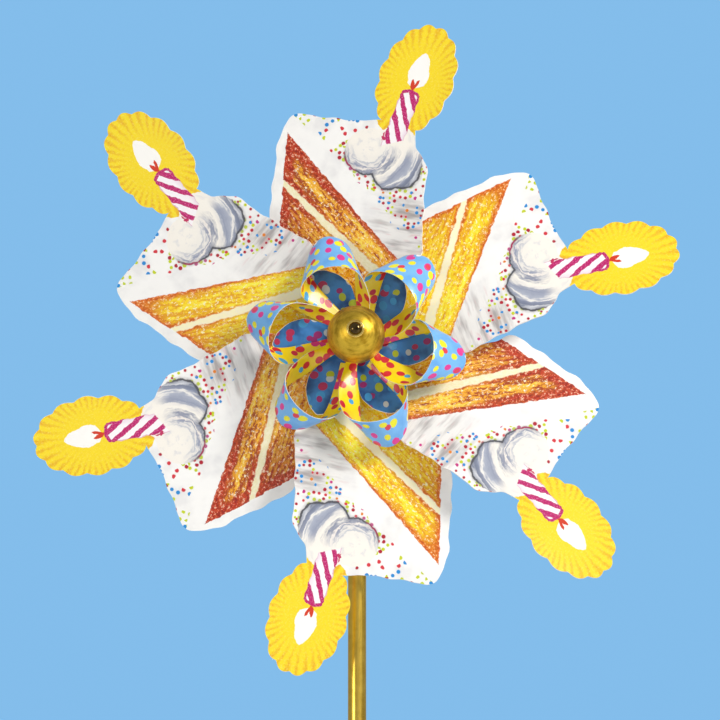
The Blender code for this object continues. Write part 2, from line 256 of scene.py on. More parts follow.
drill_mesh = bmesh.new()
bmesh.ops.create_cone(drill_mesh, cap_ends=True, segments=32, radius1=bore_radius, radius2=bore_radius,
                      depth=12 * MM, matrix=axle)
drill_data = bpy.data.meshes.new("drill")
drill_mesh.to_mesh(drill_data)
drill_mesh.free()
drill = bpy.data.objects.new("drill", drill_data)
bpy.context.scene.collection.objects.link(drill)
stick.modifiers.new("pin bore", "BOOLEAN").object = drill
stick_as_drilled = stick.evaluated_get(bpy.context.evaluated_depsgraph_get())
bored = bpy.data.meshes.new_from_object(stick_as_drilled)
stick.modifiers.clear()
stick.data = bored
stick.data.set_sharp_from_angle(angle=sharp_angle)
bpy.data.objects.remove(drill)


# Pin, washers and rear cap -----------------------------------------------------------------------
# A bronze pin runs through the whole stack. Its domed head shows inside the ball's eyelet, and a pressed
# brass cap grips its tail behind the stick. A thin brass washer lies on each side of the stick. The pin's
# dark colour is a painted reflection: it stands for the dark that the polished head mirrors in the eyelet.

polished_brass = gold_material("polished brass", srgb(232, 190, 104), srgb(196, 148, 66), (1, 1, 1),
                               0.16, 0.00001)


def depths(node):
    """A node's back and front along the axle, and its outer radius."""
    low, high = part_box(node)
    return -high.y, -low.y, (high.x - low.x) / 2


def rounded(profile, corner, steps=3):
    """Rounds every corner of a closed (radius, height) profile to the size given, as a worn edge is."""
    made = []
    for before, here, after in zip(profile[-1:] + profile[:-1], profile, profile[1:] + profile[:1]):
        here = Vector(here)
        to_start, to_end = Vector(before) - here, Vector(after) - here
        reach = min(corner, to_start.length * 0.45, to_end.length * 0.45)
        start, end = here + to_start.normalized() * reach, here + to_end.normalized() * reach
        for step in range(steps + 1):
            t = step / steps
            made.append(tuple(start * (1 - t) ** 2 + here * 2 * t * (1 - t) + end * t * t))
    return made


def ring(name, node, inner, corner, segments, material, body, steps=3):
    """A turned ring as deep and as wide as its node, with the inner radius given."""
    back, front, radius = depths(node)
    profile = rounded([(inner, back), (radius, back), (radius, front), (inner, front)], corner, steps)
    return lathe(name, profile, segments, axle, material, body, node)


# Painted reflection: the bronze is darkened so that the pin's head looks as if it mirrors dark surroundings
# inside the eyelet.
bronze_darkened_as_painted_reflection = gold_material("polished bronze darkened as painted reflection", srgb(104, 84, 52), srgb(40, 32, 22), (1, 1, 1),
                            0.12, 0.00002)
pin_back, pin_front, head_radius = depths("axle_pin")
pin_radius, head_rim, head_dome = 1.2 * MM, 0.4 * MM, 1.2 * MM
head_back = pin_front - head_rim - head_dome
pin_profile = [(0, pin_back), (pin_radius - 0.3 * MM, pin_back), (pin_radius, pin_back + 0.3 * MM),
               (pin_radius, head_back), (head_radius - 0.15 * MM, head_back),
               (head_radius, head_back + 0.15 * MM)]
pin_profile += quarter_round(0, head_back + head_rim, head_radius, head_dome, 12)
lathe("bronze_pin", pin_profile, 48, axle, bronze_darkened_as_painted_reflection, "stick", "axle_pin", closed=False)

for node in ("front_washer", "rear_washer"):
    ring(f"brass_{node}", node, bore_radius, 0.12 * MM, 48, polished_brass, "stick")

cap_back, cap_front, cap_radius = depths("rear_cap")
cap_dome, cap_edge, socket_depth = 1.9 * MM, 0.1 * MM, 2.7 * MM
cap_profile = quarter_round(0, cap_back + cap_dome, cap_radius, -cap_dome, 8)[::-1]
cap_profile += [(cap_radius, cap_front - cap_edge), (cap_radius - cap_edge, cap_front),
                (bore_radius, cap_front), (bore_radius, cap_front - socket_depth),
                (0, cap_front - socket_depth)]
lathe("brass_rear_cap", cap_profile, 48, axle, polished_brass, "stick", "rear_cap",
      closed=False)


# Spacer bead -------------------------------------------------------------------------------------
# A loose turned wooden bead, gilded like the ball, keeps the blades clear of the stick.

bead_gold = gold_material("brushed satin gold", srgb(228, 190, 66), srgb(166, 126, 28), (0.4, 0.4, 2.6),
                          0.4, 0.0001)
bead_back, bead_front, bead_radius = depths("spacer_bead")
bead_core, bead_face, bead_lip, bead_arc = 0.7 * MM, 2.0 * MM, 0.05 * MM, math.radians(62)
bead_half = (bead_front - bead_back) / 2
bead_profile = [(bore_radius, bead_back), (bead_face, bead_back)]
for step in range(17):
    turn = bead_arc * (step / 8 - 1)
    height = (bead_half - bead_lip) * math.sin(turn) / math.sin(bead_arc)
    bead_profile.append((bead_core + (bead_radius - bead_core) * math.cos(turn),
                         bead_back + bead_half + height))
bead_profile += [(bead_face, bead_front), (bore_radius, bead_front)]
lathe("gilded_spacer_bead", bead_profile, 48, axle, bead_gold, "bead", "spacer_bead")


# Hub discs and tube ------------------------------------------------------------------------------
# Two punched discs of thick grey-white board clamp the roots of the blades. A brass tube carries the turning
# stack, and a brass ring holds the flower's card off the petals.


def stretched(vector, scale):
    """The vector scaled along its own three directions, so that a noise in it becomes streaks."""
    return put(vector.tree, "ShaderNodeMapping", {"Vector": vector, "Scale": scale})


def board_material():
    """Uncoated board with short paper fibres, a little darker where it has been handled."""
    made, tree, shader = new_material("uncoated board", Coat_Weight=0.0)
    place = put(tree, "ShaderNodeTexCoord", output="Object")
    fibres = noise(stretched(place, (1, 5, 1)), 900, 5, 0.65)
    colour = paint(srgb(232, 230, 224), srgb(204, 200, 190), fade(fibres, 0.42, 0.72))
    colour = paint(colour, srgb(214, 206, 190), fade(noise(place, 120), 0.45, 0.75))
    fill(tree, shader, {"Base Color": colour, "Roughness": fibres * 0.2 + 0.62,
                        "Normal": relief(fibres, 0.00004)})
    return made


board = board_material()
tube_hole = 2.6 * MM
for node in ("rear_disc", "front_disc"):
    ring(f"board_{node}", node, tube_hole, 0.14 * MM, 96, board, "rotor")
for node, inner in (("hub_tube", bore_radius), ("flower_spacer", tube_hole), ("tip_disc", bore_radius)):
    ring(f"brass_{node}", node, inner, 0.16 * MM, 48, polished_brass, "rotor")


# Cake blades -------------------------------------------------------------------------------------
# Six die-cut blades of gloss-coated card, each printed on both sides with a slice of layer cake, a
# dollop of cream and a lit candle. A narrow unprinted border and the white core show at the cut.

blade_turns = (77.0, 17.5, -42.4, -100.3, -160.8, 137.7)  # degrees, with a little slack in the clamp
blade_pitch = math.radians(11)
twist_start, twist_end = 8, 26  # mm from the hub: flat in the clamp, and fully twisted further out
curl_start, edge_curl, bow = 4, 0.006, 0.0002
card_thickness = 0.5 * MM
border_width = 0.42
grid_step = 3.6

# The cut edges in mm from the hub: outwards along the candle is u, anticlockwise is v.
leading_edge = [(22.7, -10.8), (33.1, -15.1), (39.4, -14.4), (45.8, -13.4), (54.9, -11.6), (62.7, -10.9),
                (66.9, -9.7), (70.4, -7.7), (72.9, -4.9), (75.5, -3.9)]
outer_edge = [(80.9, 10.6), (79.6, 15.8), (79.2, 21.1), (78.6, 26.4), (78.3, 31.7), (78.8, 35.6),
              (77.8, 39.6), (75.0, 42.8), (67.0, 44.2), (57.4, 43.2), (48.6, 42.3), (40.8, 41.3),
              (37.4, 39.6), (34.6, 34.6), (32.0, 29.6), (28.6, 23.2), (20.7, 13.6)]
sector_start, sector_end, root_radius, root_inset = math.radians(-25), math.radians(33), 3.6, 0.45
glow_centre, glow_half_length, glow_half_width = (97.5, 0.7), 19.6, 12.5
glow_start, glow_end = math.radians(-151), math.radians(150)
scallops, scallop_depth = 14, 1.2
candle_turn = math.radians(-8)


def smooth_curve(points, steps):
    """Reads a Catmull-Rom curve through the points, steps samples to a stretch, both ends kept."""
    points = [Vector(point) for point in points]
    ends = [2 * points[0] - points[1]] + points + [2 * points[-1] - points[-2]]
    samples = []
    for before, start, end, after in zip(ends, ends[1:], ends[2:], ends[3:]):
        for step in range(steps):
            t = step / steps
            samples.append(0.5 * ((2 * start) + (end - before) * t
                                  + (2 * before - 5 * start + 4 * end - after) * t * t
                                  + (3 * start - before - 3 * end + after) * t * t * t))
    return samples + [points[-1]]


def hand_cut(points, depth=0.27):
    """Lets an outline wander by a fraction of a millimetre, as the drawn edge does, with both ends kept."""
    runs = [0.0]
    for start, end in zip(points, points[1:]):
        runs.append(runs[-1] + (end - start).length)
    made = [points[0]]
    for before, here, after, run in zip(points, points[1:], points[2:], runs[1:]):
        along = (after - before).normalized()
        wave = math.sin(math.tau * run / 13.6) + 0.6 * math.sin(math.tau * run / 7.3 + 1)
        held = min(1.0, run / 6, (runs[-1] - run) / 6)
        made.append(here + Vector((along.y, -along.x)) * depth * wave * held)
    return made + [points[-1]]


def smoothstep(low, high, value):
    t = min(max((value - low) / (high - low), 0.0), 1.0)
    return t * t * (3 - 2 * t)


def root_line(angle, side):
    along = Vector((math.cos(angle), math.sin(angle)))
    return along * root_radius + Vector((-along.y, along.x)) * root_inset * side


def root_arc():
    """The inner end of the sector, round the hub tube, between its two straight sides."""
    turns = [sector_end + (sector_start - sector_end) * share for share in (0.25, 0.5, 0.75)]
    return [Vector((math.cos(turn), math.sin(turn))) * root_radius for turn in turns]


def glow_edge(samples_per_scallop=12):
    count = round(scallops * samples_per_scallop * (glow_end - glow_start) / math.tau)
    cos, sin = math.cos(candle_turn), math.sin(candle_turn)
    points = []
    for step in range(count + 1):
        turn = glow_start + (glow_end - glow_start) * step / count
        bulge = scallop_depth * abs(math.sin(turn * scallops / 2))
        along = (glow_half_length + bulge) * math.cos(turn)
        across = (glow_half_width + bulge) * math.sin(turn)
        points.append(Vector((glow_centre[0] + along * cos - across * sin,
                              glow_centre[1] + along * sin + across * cos)))
    return points


def blade_height(u, v):
    """How far a point of the twisted, slightly bowed blade stands in front of its root, in mm."""
    twist = smoothstep(twist_start, twist_end, math.hypot(u, v))
    lift = -math.tan(blade_pitch) * v + edge_curl * max(0.0, -v - curl_start) ** 2
    return twist * lift + bow * u * u


def cut_card(outline, step):
    """A flat card in mm, cut to the outline: slot 0 is printed, slot 1 is the bare border round it."""
    flat = bmesh.new()
    sheet = flat.faces.new([flat.verts.new((point.x, point.y, 0)) for point in outline])
    border = bmesh.ops.inset_region(flat, faces=[sheet], thickness=border_width, use_even_offset=True)
    for face in border["faces"]:
        face.material_index = 1
    for axis in (0, 1):
        places = [point[axis] for point in outline]
        cut = min(places) + step
        while cut < max(places) - 0.2:
            direction = [0, 0, 0]
            direction[axis] = 1
            bmesh.ops.bisect_plane(flat, geom=flat.verts[:] + flat.edges[:] + flat.faces[:], dist=1e-4,
                                   plane_co=[cut * part for part in direction], plane_no=direction)
            cut += step
    bmesh.ops.triangulate(flat, faces=[face for face in flat.faces if len(face.verts) > 4])
    return flat


def bend_card(flat, height_at, plane, thickness, back_slot, core_slot):
    """Bends a flat card by height_at(u, v) and thickens it. Each point keeps its place on the print."""
    bm = bmesh.new()
    printed = bm.verts.layers.float_vector.new("print")
    reach = 0.05
    layers = []
    for side in (0.5, -0.5):
        layer = {}
        for vert in flat.verts:
            u, v = vert.co.x, vert.co.y
            slope_u = (height_at(u + reach, v) - height_at(u - reach, v)) / (2 * reach)
            slope_v = (height_at(u, v + reach) - height_at(u, v - reach)) / (2 * reach)
            normal = Vector((-slope_u, -slope_v, 1)).normalized()
            place = Vector((u * MM, v * MM, plane + height_at(u, v) * MM)) + normal * thickness * side
            layer[vert] = bm.verts.new(place)
            layer[vert][printed] = (u, v, 0)
        layers.append(layer)
    front, back = layers
    for face in flat.faces:
        bare = face.material_index == 1
        front_face = bm.faces.new([front[vert] for vert in face.verts])
        back_face = bm.faces.new([back[vert] for vert in reversed(face.verts)])
        front_face.material_index = core_slot if bare else 0
        back_face.material_index = core_slot if bare else back_slot
    for edge in flat.edges:
        if edge.is_boundary:
            start, end = edge.link_loops[0].vert, edge.link_loops[0].link_loop_next.vert
            cut_face = bm.faces.new((front[end], front[start], back[start], back[end]))
            cut_face.material_index = core_slot
    flat.free()
    return bm


def joined(x, y):
    return put(x.tree, "ShaderNodeCombineXYZ", {"X": x, "Y": y})


def split(vector):
    return [put(vector.tree, "ShaderNodeSeparateXYZ", {"Vector": vector}, axis) for axis in ("X", "Y")]


def highest(first, *others):
    for other in others:
        first = calc("MAXIMUM", first, other)
    return first


def from_centre(x, y):
    return put(x.tree, "ShaderNodeVectorMath", {0: joined(x, y)}, "Value", operation="LENGTH")


def turned(place, origin, angle):
    """Places along and across a direction that starts at an origin."""
    from_u, from_v = place[0] - origin[0], place[1] - origin[1]
    cos, sin = math.cos(angle), math.sin(angle)
    return from_u * cos + from_v * sin, from_v * cos - from_u * sin


def oval(place, centre, half_length, half_width, angle=0.0):
    """Distance in mm, near enough, out from the edge of an oval."""
    along, across = turned(place, centre, angle)
    size = from_centre(along / half_length, across / half_width)
    return (size - 1.0) * ((half_length + half_width) / 2)


def scattered_cells(vector, density):
    """How far each place is from the middle of its cell, and three chances that are the cell's own."""
    sockets = {"Vector": vector, "Scale": density, "Randomness": 0.85}
    distance = put(vector.tree, "ShaderNodeTexVoronoi", sockets, "Distance", voronoi_dimensions="2D")
    colour = Reading(vector.tree, distance.socket.node.outputs["Color"])
    chances = [put(vector.tree, "ShaderNodeSeparateColor", {"Color": colour}, index) for index in range(3)]
    return distance, chances


class PrintedSheet:
    """Places on a card in mm: true ones, and drawn ones with the slight wobble of the hand in every line."""

    def __init__(self, place):
        self.place = place
        self.u, self.v = split(place)
        shift = vector_calc("SUBTRACT", noise(place, 0.42, output="Color"), (0.5, 0.5, 0.5))
        push = put(place.tree, "ShaderNodeVectorMath", {0: shift, "Scale": 1.7}, operation="SCALE")
        self.drawn = split(vector_calc("ADD", place, push))
        self.clouds = noise(place, 0.11)


def frosting_colour(sheet):
    """Near white, with grey and rosy strokes of the brush on the leading side."""
    leading = fade(sheet.v, 13, -6) * fade(sheet.u, 60, 48)
    strokes = noise(stretched(sheet.place, (0.42, 0.07, 1)), 1.0)
    rosy = noise(stretched(sheet.place, (0.5, 0.1, 1)), 1.3)
    colour = paint(srgb(251, 250, 247), srgb(236, 235, 234), fade(sheet.clouds, 0.45, 0.72))
    colour = paint(colour, srgb(226, 222, 217), leading * 0.6)
    colour = paint(colour, srgb(156, 149, 148), fade(strokes, 0.44, 0.72) * leading * 0.9)
    return paint(colour, srgb(222, 190, 190), fade(rosy, 0.56, 0.68) * leading * 0.6)


def cream_edge(sheet):
    """Distance out from the dollop of cream: the big lobe and the swirl under the candle."""
    edge = oval(sheet.drawn, (69.0, 11.2), 8.4, 8.8)
    for lobe in (((64.8, 2.4), 8.3, 6.4), ((65.6, -2.6), 7.9, 5.8), ((72.6, 2.4), 7.2, 7.6)):
        edge = calc("SMOOTH_MIN", edge, oval(sheet.drawn, *lobe), 0.8)
    return edge


def pick_colour(value, stops, interpolation):
    """Reads a colour ramp, whose stops are pairs of a place from 0 to 1 and a colour."""
    ramp = put(value.tree, "ShaderNodeValToRGB", {"Fac": value})
    elements = ramp.socket.node.color_ramp.elements
    ramp.socket.node.color_ramp.interpolation = interpolation
    while len(elements) < len(stops):
        elements.new(0.5)
    for element, (place, colour) in zip(elements, stops):
        element.position, element.color = place, colour
    return ramp


sprinkle_tones = [(0.0, srgb(176, 14, 44)), (0.38, srgb(214, 44, 60)), (0.48, srgb(196, 40, 128)),
                  (0.56, srgb(30, 140, 214)), (0.74, srgb(226, 128, 24)), (0.83, srgb(196, 212, 16))]
sprinkle_spacing = 1.75


def add_sprinkles(colour, sheet, cream, cake):
    """One dot to a cell, thinned out by where the sprinkles were thrown, and none close to the cake."""
    distance, (hue, chance, size) = scattered_cells(sheet.place, 1 / sprinkle_spacing)
    near_cream = fade(cream, 4.4, 2.6) * fade(sheet.u, 74, 68)
    over_strokes = fade(sheet.v, 9, 0) * fade(sheet.u, 66, 58) * 0.4
    far_side = fade(sheet.v, 13, 18) * fade(sheet.u, 60, 64) * 0.36
    density = highest(near_cream * 0.9, over_strokes, far_side) * fade(cake, -5.5, -8.5)
    chosen = calc("LESS_THAN", chance, density)
    off_dot = distance - (size * 0.12 + 0.24 + fade(sheet.v, 12, 18) * 0.07)
    mixed = highest(near_cream, fade(sheet.v, 14, 18)) * 0.24
    tone = pick_colour(hue + mixed, sprinkle_tones, "CONSTANT")
    halo = paint(tone, srgb(255, 246, 240), 0.5)
    colour = paint(colour, halo, fade(off_dot, 0.3, 0.0) * chosen * 0.3)
    return paint(colour, tone, fade(off_dot, 0.03, -0.03) * chosen)


def slice_colour(given, s, q, b):
    """Crumb in four tones, drawn out along the layers, with a crust on every outer line and a filling.
    s runs along the slice, q is the distance in from its top and b from its frosted back."""
    layers = noise(stretched(joined(s, q), (0.06, 0.62, 1)), 1.0, 3, 0.6)
    grain = noise(stretched(joined(s, q), (0.55, 1.0, 1)), 1.0, 4, 0.8)
    speck = noise(stretched(joined(q, s), (0.95, 0.62, 1)), 1.0, 3, 0.8)
    outer_end = fade(s, 10, 46)
    ripe = layers * 0.5 + grain * 0.5 + outer_end * 0.055
    crumb = paint(given["Crumb Light"], given["Crumb"], fade(ripe, 0.44, 0.5))
    crumb = paint(crumb, given["Crumb Shade"], fade(ripe, 0.52, 0.58) * given["Streaks"])

    ragged = (grain - 0.5) * 7.0
    filling_middle, filling_half = 8.5 + s * 0.085, 1.85 - s * 0.019
    off_filling = abs(q - filling_middle) - filling_half
    crust_depth = given["Crust Depth"] * (outer_end * 0.75 + 0.45)
    seam_depth = given["Crust Depth"] * outer_end * 0.55 + 0.3
    top = fade(q + ragged - crust_depth, 0.9, -0.9)
    back = fade(b + ragged - crust_depth, 0.9, -0.9)
    seam = fade(off_filling + ragged * 0.5 - seam_depth, 0.5, -0.5) * (outer_end * 0.5 + 0.45)
    low_layer = fade(q, 10, 16) * outer_end * given["Crust Depth"] * 0.2
    corner = fade(q + b + ragged, 11, 4) * 0.85
    crust = highest(top, back, seam, low_layer, corner)
    crust_tone = paint(given["Crust"], given["Crust Shade"], fade(speck, 0.46, 0.6))
    colour = paint(crumb, crust_tone, crust * 0.92)
    colour = paint(colour, given["Fleck"], fade(speck, 0.44, 0.38) * (0.95 - crust * 0.35))
    filling = paint(given["Filling"], srgb(250, 244, 214), fade(grain, 0.42, 0.6))
    return paint(colour, filling, fade(off_filling + ragged * 0.16, 0.2, -0.25))


cream_white, hollow = srgb(250, 245, 235), srgb(150, 157, 178)
ridge_tones = [(0.0, cream_white), (0.2, srgb(244, 240, 232)), (0.245, srgb(196, 198, 206)),
               (0.275, srgb(238, 234, 228)), (0.315, hollow), (0.345, srgb(246, 238, 230)),
               (0.385, srgb(142, 148, 168)), (0.45, cream_white), (0.53, srgb(238, 234, 228)),
               (0.58, hollow), (0.645, srgb(172, 178, 194)), (0.68, srgb(240, 237, 232)),
               (0.72, hollow), (0.8, srgb(118, 126, 148)), (0.84, srgb(214, 216, 222)),
               (0.9, srgb(128, 136, 156))]
swirl_span = 24.0  # mm from the middle of the swirl to its last ridge


def cream_colour(sheet, cream):
    """One swirl of the piping bag, so its ridges run in arcs round the big lobe and on over the others."""
    u, v = sheet.drawn
    swirl_u, swirl_v = u - 70.4, (v - 12.0) * 0.96
    reach = from_centre(swirl_u, swirl_v)
    turn = calc("ARCTAN2", swirl_v, swirl_u * -1.0)
    brushed = noise(joined(turn * 1.1, reach * 0.42), 1.0, 3, 0.55)
    ridges = pick_colour((reach + (brushed - 0.5) * 7.0) / swirl_span, ridge_tones, "EASE")
    under_candle = 70.5 - (v - 3.0) * 0.12
    colour = paint(cream_white, ridges, fade(under_candle - u, -3.0, 3.5))
    colour = paint(colour, srgb(208, 209, 215), fade(brushed, 0.5, 0.7) * 0.5)
    rim = fade(cream, -1.5, -0.2) * fade(sheet.u, 70, 64)
    return paint(colour, srgb(118, 124, 142), rim * (brushed * 0.8 + 0.15))


def add_cream(colour, sheet, cream):
    """The dollop with its shadow on the frosting, and a pencil outline with a crimson accent."""
    shadow = fade(cream, 1.6, 0.1) * fade(sheet.u, 70, 62)
    colour = paint(colour, srgb(150, 148, 150), shadow * 0.5)
    colour = paint(colour, cream_colour(sheet, cream), fade(cream, 0.12, -0.12))
    outline = fade(abs(cream) - (sheet.clouds * 0.6 + 0.02), 0.16, -0.16)
    colour = paint(colour, srgb(74, 74, 82), outline * fade(sheet.u, 70, 64) * 0.95)
    accent = outline * fade(sheet.v, 14, 15) * fade(sheet.u, 66, 64)
    return paint(colour, srgb(168, 36, 84), accent)


def add_glow(colour, sheet, cream):
    """Yellow crayon rays round the flame, inside the scalloped edge."""
    glow = oval(sheet.drawn, glow_centre, glow_half_length + 2.4, glow_half_width + 2.4, candle_turn)
    ray_u, ray_v = sheet.u - 97.0, sheet.v - 0.4
    crayon = noise(sheet.place, 0.8, 5, 0.8)
    drift = noise(sheet.place, 0.25, 2) * 5.0
    rays = calc("SINE", calc("ARCTAN2", ray_v, ray_u) * 38 + drift) * fade(from_centre(ray_u, ray_v), 5, 14)
    ray_amount = fade(rays * 0.2 + crayon, 0.4, 0.86)
    near_edge = fade(glow + crayon * 6, -7, 2)
    tone = paint(srgb(251, 222, 28), srgb(238, 186, 20), ray_amount * (near_edge * 0.6 + 0.35))
    tone = paint(tone, srgb(232, 160, 24), ray_amount * near_edge * 0.55)
    pale = fade(noise(sheet.place, 1.5, 3, 0.75), 0.54, 0.62)
    tone = paint(tone, srgb(252, 234, 110), pale * 0.5)
    return paint(colour, tone, fade(glow, 0.1, -0.1) * fade(cream, -0.1, 0.1))


candle_foot, candle_length, candle_half_width = (72.6, 4.2), 21.0, 3.5
stripe_turn, stripe_pitch = math.radians(31), 3.75


def add_candle(colour, sheet):
    """White wax with a twisted magenta stripe, a rim round the top and a tick of the pen at the foot."""
    along, across = turned(sheet.drawn, candle_foot, candle_turn)
    crown = along + across * across * 0.1
    foot = along + across * 0.55
    side = abs(across) - candle_half_width
    body = fade(side, 0.1, -0.1) * fade(foot, 0.6, 0.9) * fade(crown, candle_length + 0.2, candle_length)
    winding = across * math.cos(stripe_turn) - along * math.sin(stripe_turn)
    stripe = fade(abs(calc("FRACT", (winding + 1.2) / stripe_pitch) - 0.5), 0.245, 0.21)
    top_rim = fade(crown, candle_length - 1.3, candle_length - 1.0)
    side_rim = fade(across, -2.6, -2.8) * fade(along, candle_length - 6.0, candle_length - 5.5)
    sugar = fade(noise(sheet.place, 1.9, 3, 0.8), 0.53, 0.6)
    magenta = paint(srgb(188, 8, 102), srgb(240, 140, 192), sugar * 0.7)
    wax = paint(srgb(253, 248, 250), srgb(216, 150, 184), fade(side, -0.4, -0.15) * 0.8)
    wax = paint(wax, srgb(236, 214, 226), fade(across, -1.4, -3.2) * 0.6)
    colour = paint(colour, paint(wax, magenta, highest(stripe, top_rim, side_rim)), body)
    tick = calc("MINIMUM", oval(sheet.drawn, (74.6, 7.4), 1.15, 0.55, 0.9),
                oval(sheet.drawn, (75.4, 7.7), 1.6, 0.22, candle_turn))
    return paint(colour, srgb(196, 46, 96), fade(tick, 0.1, -0.1))


def add_flame(colour, sheet):
    """A white flame that narrows outwards, over a forked red wick."""
    along, across = turned(sheet.drawn, (100.9, 0.1), candle_turn + 0.02)
    flame = from_centre(along / 6.6, across / 3.5 / (1.0 - along * 0.055))
    colour = paint(colour, srgb(255, 253, 248), fade(flame, 1.03, 0.97))
    wick = calc("MINIMUM", oval(sheet.drawn, (95.4, 0.5), 2.1, 0.6, candle_turn - 0.3),
                oval(sheet.drawn, (95.4, 1.6), 2.1, 0.7, candle_turn + 0.35))
    return paint(colour, srgb(214, 58, 26), fade(wick, 0.12, -0.12))


slice_corner, slice_turn = (32.4, -7.1), math.atan2(0.787, 0.616)


def cake_print_group():
    """The slice's whole picture in the card's own millimetres, drawn layer over layer like the print."""
    tones = ("Crust", "Crust Shade", "Fleck", "Crumb", "Crumb Shade", "Crumb Light", "Filling")
    tree, given, result = new_group(
        "Cake Print",
        [("Print", "NodeSocketVector", (0, 0, 0)), ("Streaks", "NodeSocketFloat", 0.9),
         ("Crust Depth", "NodeSocketFloat", 2.0)]
        + [(tone, "NodeSocketColor", (0.7, 0.3, 0.05, 1)) for tone in tones],
        [("Color", "NodeSocketColor")])
    sheet = PrintedSheet(given["Print"])
    u, v = sheet.drawn
    s, q = turned(sheet.drawn, slice_corner, slice_turn)
    b = 30.9 + u * 0.155 - v
    cream = cream_edge(sheet)
    colour = add_sprinkles(frosting_colour(sheet), sheet, cream, q)
    colour = paint(colour, slice_colour(given, s, q, b), fade(q, -0.12, 0.12) * fade(b, -0.12, 0.12))
    colour = add_glow(add_cream(colour, sheet, cream), sheet, cream)
    fill(tree, result, {"Color": add_flame(add_candle(colour, sheet), sheet)})
    return tree


def card_surface_group():
    """Gloss-coated card: faint waviness of the sheet, fibres under the coating and light handling scuffs."""
    tree, given, result = new_group(
        "Card Surface", [("Print", "NodeSocketVector", (0, 0, 0))],
        [("Roughness", "NodeSocketFloat"), ("Height", "NodeSocketFloat")])
    fibres = noise(stretched(given["Print"], (1.6, 0.8, 1)), 2.2, 4, 0.6)
    waves = noise(given["Print"], 0.06, 2)
    scuffs = fade(noise(stretched(given["Print"], (0.25, 2.4, 1)), 0.8, 5, 0.7), 0.6, 0.75)
    fill(tree, result, {"Roughness": fibres * 0.12 + scuffs * 0.1 + 0.24, "Height": fibres * 0.05 + waves})
    return tree


card_surface = card_surface_group()
cake_print = cake_print_group()


def coated_card(name, colour_from):
    """Gloss-coated printed card. colour_from(tree, place) returns the colour at a place on the card."""
    made, tree, shader = new_material(name, Coat_Weight=0.35, Coat_Roughness=0.12)
    place = put(tree, "ShaderNodeAttribute", output="Vector", attribute_name="print")
    surface = place_group(tree, card_surface, {"Print": place})
    fill(tree, shader, {"Base Color": colour_from(tree, place), "Roughness": surface["Roughness"],
                        "Normal": relief(surface["Height"], 0.0003, 0.5)})
    return made


def core_material():
    """The bare white core and border of the card, slightly furred by the cutting die."""
    made, tree, shader = new_material("cut card core", Roughness=0.6)
    place = put(tree, "ShaderNodeTexCoord", output="Object")
    fibres = noise(stretched(place, (1, 1, 6)), 1800, 4, 0.7)
    colour = paint(srgb(250, 249, 246), srgb(222, 218, 210), fade(fibres, 0.45, 0.75))
    fill(tree, shader, {"Base Color": colour, "Normal": relief(fibres, 0.00003)})
    return made


cut_core = core_material()
cake_tones = {
    "red cake print": {
        "Crust": srgb(202, 54, 14), "Crust Shade": srgb(138, 16, 4), "Fleck": srgb(255, 247, 214),
        "Crumb": srgb(242, 168, 32), "Crumb Shade": srgb(160, 52, 10), "Crumb Light": srgb(255, 222, 84),
        "Filling": srgb(242, 234, 188), "Streaks": 0.95, "Crust Depth": 3.0},
    "golden cake print": {
        "Crust": srgb(226, 106, 14), "Crust Shade": srgb(188, 56, 12), "Fleck": srgb(255, 252, 206),
        "Crumb": srgb(254, 218, 24), "Crumb Shade": srgb(224, 140, 8), "Crumb Light": srgb(255, 244, 74),
        "Filling": srgb(254, 246, 200), "Streaks": 0.75, "Crust Depth": 1.3}}


def cake_card(name):
    def printed(tree, place):
        return place_group(tree, cake_print, {"Print": place, **cake_tones[name]})["Color"]
    return coated_card(name, printed)


disc_gap = 0.3 * MM
rear_disc_front = depths("rear_disc")[1]
blade_plane = rear_disc_front + disc_gap + card_thickness / 2
blade_outline = ([root_line(sector_start, 1)] + hand_cut(smooth_curve(leading_edge, 6)) + glow_edge()
                 + hand_cut(smooth_curve(outer_edge, 6)) + [root_line(sector_end, -1)] + root_arc())
cake_cards = [cake_card(name) for name in cake_tones]
for index, degrees in enumerate(blade_turns):
    blade = bend_card(cut_card(blade_outline, grid_step), blade_height, blade_plane, card_thickness, 0, 1)
    turn = Matrix.Rotation(math.radians(degrees), 4, "Z")
    fix(blade, f"cake_card_{index + 1}", axle @ turn, [cake_cards[index % 2], cut_core], "rotor",
        f"cake_blade_{index + 1}")


# Flower base -------------------------------------------------------------------------------------
# A six-armed star of the same coated card, confetti on yellow behind. Its front is the light blue confetti
# card with painted shade: a deep blue ground and dimmed dots. It is dished forwards, so that it clears the
# raised edges of the blades.

arms = 6
base_turn = math.radians(106)
petal_thickness = 0.4 * MM
base_dish, base_flat, base_hole = 0.12, 6, 2.6

# Reach of the star's edge at angles across one arm: degrees from the petal's middle, and mm
base_reach = [(-16, 13.5), (-11, 20.0), (-2, 24.5), (8, 28.0), (16, 29.5), (22, 27.5), (28, 19.5), (36, 9.5)]


def reach_at(degrees):
    span, first = 360 / arms, base_reach[0][0]
    degrees = (degrees - first) % span + first
    stops = base_reach + [(first + span, base_reach[0][1])]
    for (start, low), (end, high) in zip(stops, stops[1:]):
        if degrees <= end:
            return low + (high - low) * (degrees - start) / (end - start)
    return stops[-1][1]


